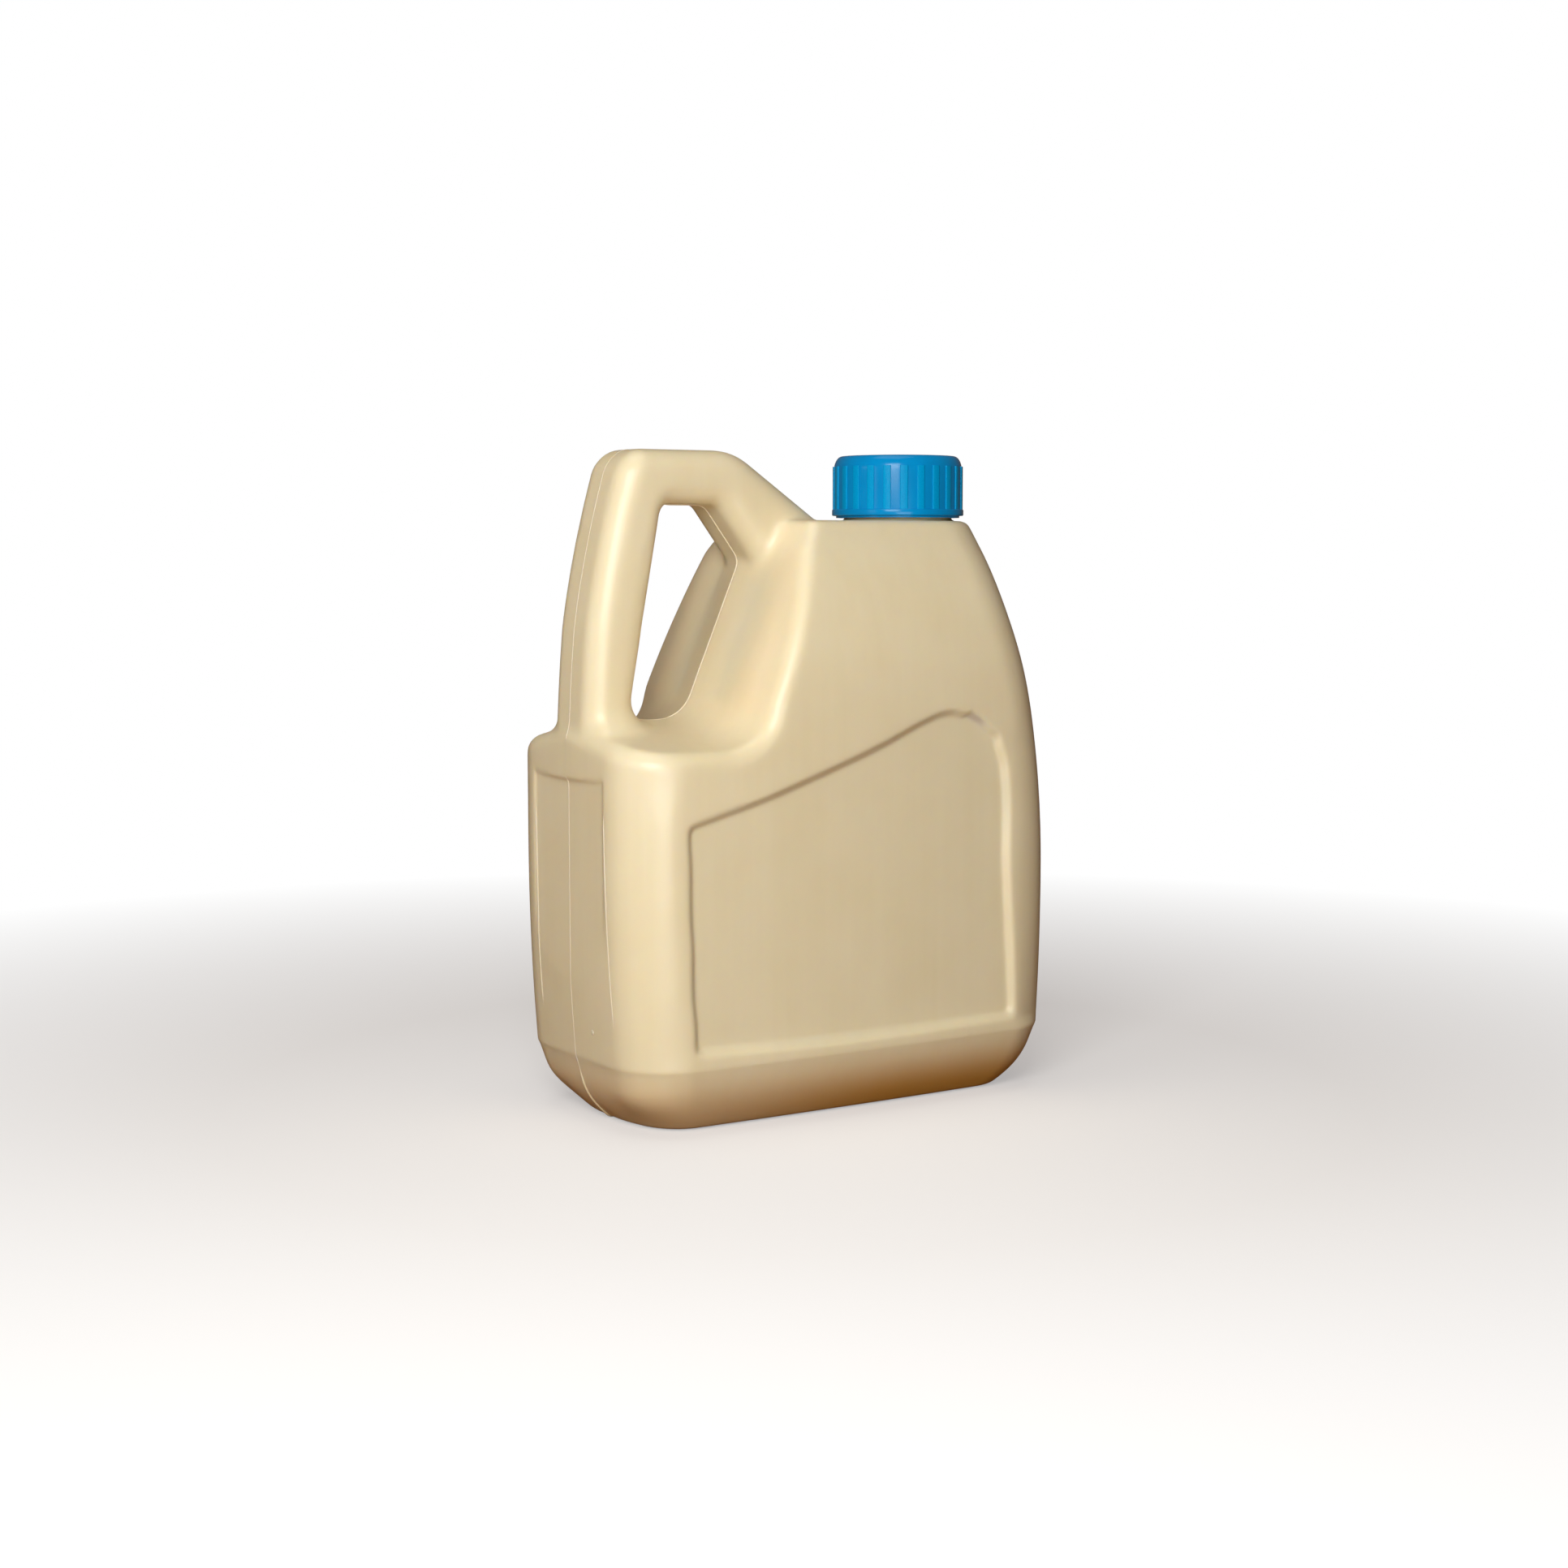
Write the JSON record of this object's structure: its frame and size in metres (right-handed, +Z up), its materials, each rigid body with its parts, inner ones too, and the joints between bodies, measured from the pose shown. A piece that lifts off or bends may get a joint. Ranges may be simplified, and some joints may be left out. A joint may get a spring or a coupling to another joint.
{
  "type": "blow-moulded jug with screw cap",
  "caption": "Flat-sided plastic jug for oil or other fluids, with a hollow grip at the back, a climbing label panel on both sides and a ribbed screw cap.",
  "frame": {"origin": "on the floor under the middle of the jug's overall box", "axes": "+Z up, +X from the grip to the neck and cap, Y across the jug, with the mould's parting plane at Y = 0"},
  "size_m": [0.2204, 0.1128, 0.28],
  "materials": {
    "jug_plastic": "satin, unpigmented cream polyethylene with a faint vertical flow texture",
    "cap_plastic": "glossy moulded blue",
    "liner_foam": "matt white foamed wad"
  },
  "bodies": {
    "jug": {"jug": "jug_plastic"},
    "liner": {"cap_liner": "liner_foam"},
    "cap": {"screw_cap": "cap_plastic"}
  },
  "joints": [
    {"name": "cap_lift", "type": "slide", "parent": "jug", "child": "liner", "axis": [0, 0, 1], "range_m": [0, 0.028]},
    {"name": "cap_turn", "type": "hinge", "parent": "liner", "child": "cap", "pos_m": [0.0573, 0, 0.2764], "axis": [0, 0, 1], "range_deg": [0, 2520]}
  ],
  "couplings": [
    {"joint": "cap_lift", "follows": "cap_turn", "m_per_rad": 0.0006366}
  ]
}
